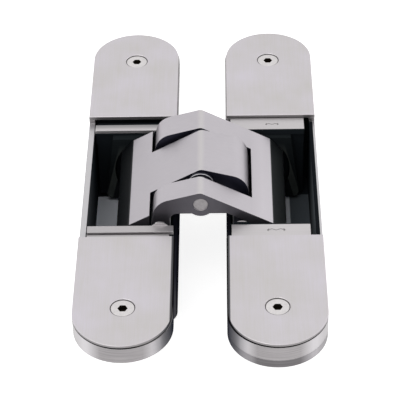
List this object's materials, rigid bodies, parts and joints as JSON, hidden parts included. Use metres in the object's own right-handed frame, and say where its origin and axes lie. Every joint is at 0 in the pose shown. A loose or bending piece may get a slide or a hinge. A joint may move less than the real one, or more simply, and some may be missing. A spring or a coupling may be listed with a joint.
{
  "type": "concealed door hinge",
  "caption": "Concealed door hinge with two mortise bodies, flush cover plates and folding arms whose ends run in curved guide tracks.",
  "frame": {"origin": "centre of the bounding box, on the plane of the tub bottoms", "axes": "+X across the two bodies, +Y along the bodies, +Z out of the tubs towards the cover plates"},
  "size_m": [0.081, 0.172, 0.0438],
  "materials": {
    "body": "brushed",
    "cover": "satin",
    "packing": "satin grey",
    "block": "satin",
    "track": "dark",
    "arm": "satin",
    "pin": "turned",
    "screw": "turned"
  },
  "bodies": {
    "left_body": {"left_housing": "body", "left_cover_far": "cover", "left_cover_near": "cover", "left_cover_screws": "screw"},
    "left_carriage": {"left_end_block_far": "block", "left_end_block_near": "block", "left_guide_track_far": "track", "left_guide_track_near": "track", "left_pivot_pin": "pin", "left_pivot_sleeves": "pin"},
    "fork": {"fork_arm": "arm", "centre_pin": "pin", "spacer_washers": "pin", "right_slide_pin": "pin", "right_slide_collars": "pin"},
    "middle": {"middle_arm": "arm", "left_slide_pin": "pin", "left_slide_collars": "pin"},
    "right_carriage": {"right_end_block_far": "block", "right_end_block_near": "block", "right_guide_track_far": "track", "right_guide_track_near": "track", "right_pivot_pin": "pin", "right_pivot_sleeves": "pin"},
    "right_cross": {"right_cross_slide_far": "block", "right_cross_slide_near": "block"},
    "right_body": {"right_housing": "body", "right_cover_far": "cover", "right_cover_near": "cover", "right_cover_screws": "screw", "right_packing_plate_far": "packing", "right_packing_plate_near": "packing"}
  },
  "joints": [
    {"name": "height_adjustment", "type": "slide", "parent": "left_body", "child": "left_carriage", "axis": [0, 1, 0], "range_m": [-0.003, 0.003]},
    {"name": "left_pivot", "type": "hinge", "parent": "left_carriage", "child": "fork", "pos_m": [-0.0137, 0, 0.0276], "axis": [0, -1, 0], "range_deg": [0, 112.31]},
    {"name": "centre_pivot", "type": "hinge", "parent": "fork", "child": "middle", "pos_m": [0, 0, 0.0386], "axis": [0, 1, 0], "range_deg": [0, 44.62]},
    {"name": "right_pivot", "type": "hinge", "parent": "middle", "child": "right_carriage", "pos_m": [0.0137, 0, 0.0276], "axis": [0, -1, 0], "range_deg": [0, 112.32]},
    {"name": "depth_adjustment", "type": "slide", "parent": "right_carriage", "child": "right_cross", "axis": [0, 0, 1], "range_m": [-0.001, 0.001]},
    {"name": "side_adjustment", "type": "slide", "parent": "right_cross", "child": "right_body", "axis": [1, 0, 0], "range_m": [-0.0015, 0.0015]}
  ],
  "couplings": [
    {"joint": "centre_pivot", "follows": "left_pivot", "ratio": 0.39722},
    {"joint": "right_pivot", "follows": "left_pivot", "ratio": 1}
  ]
}
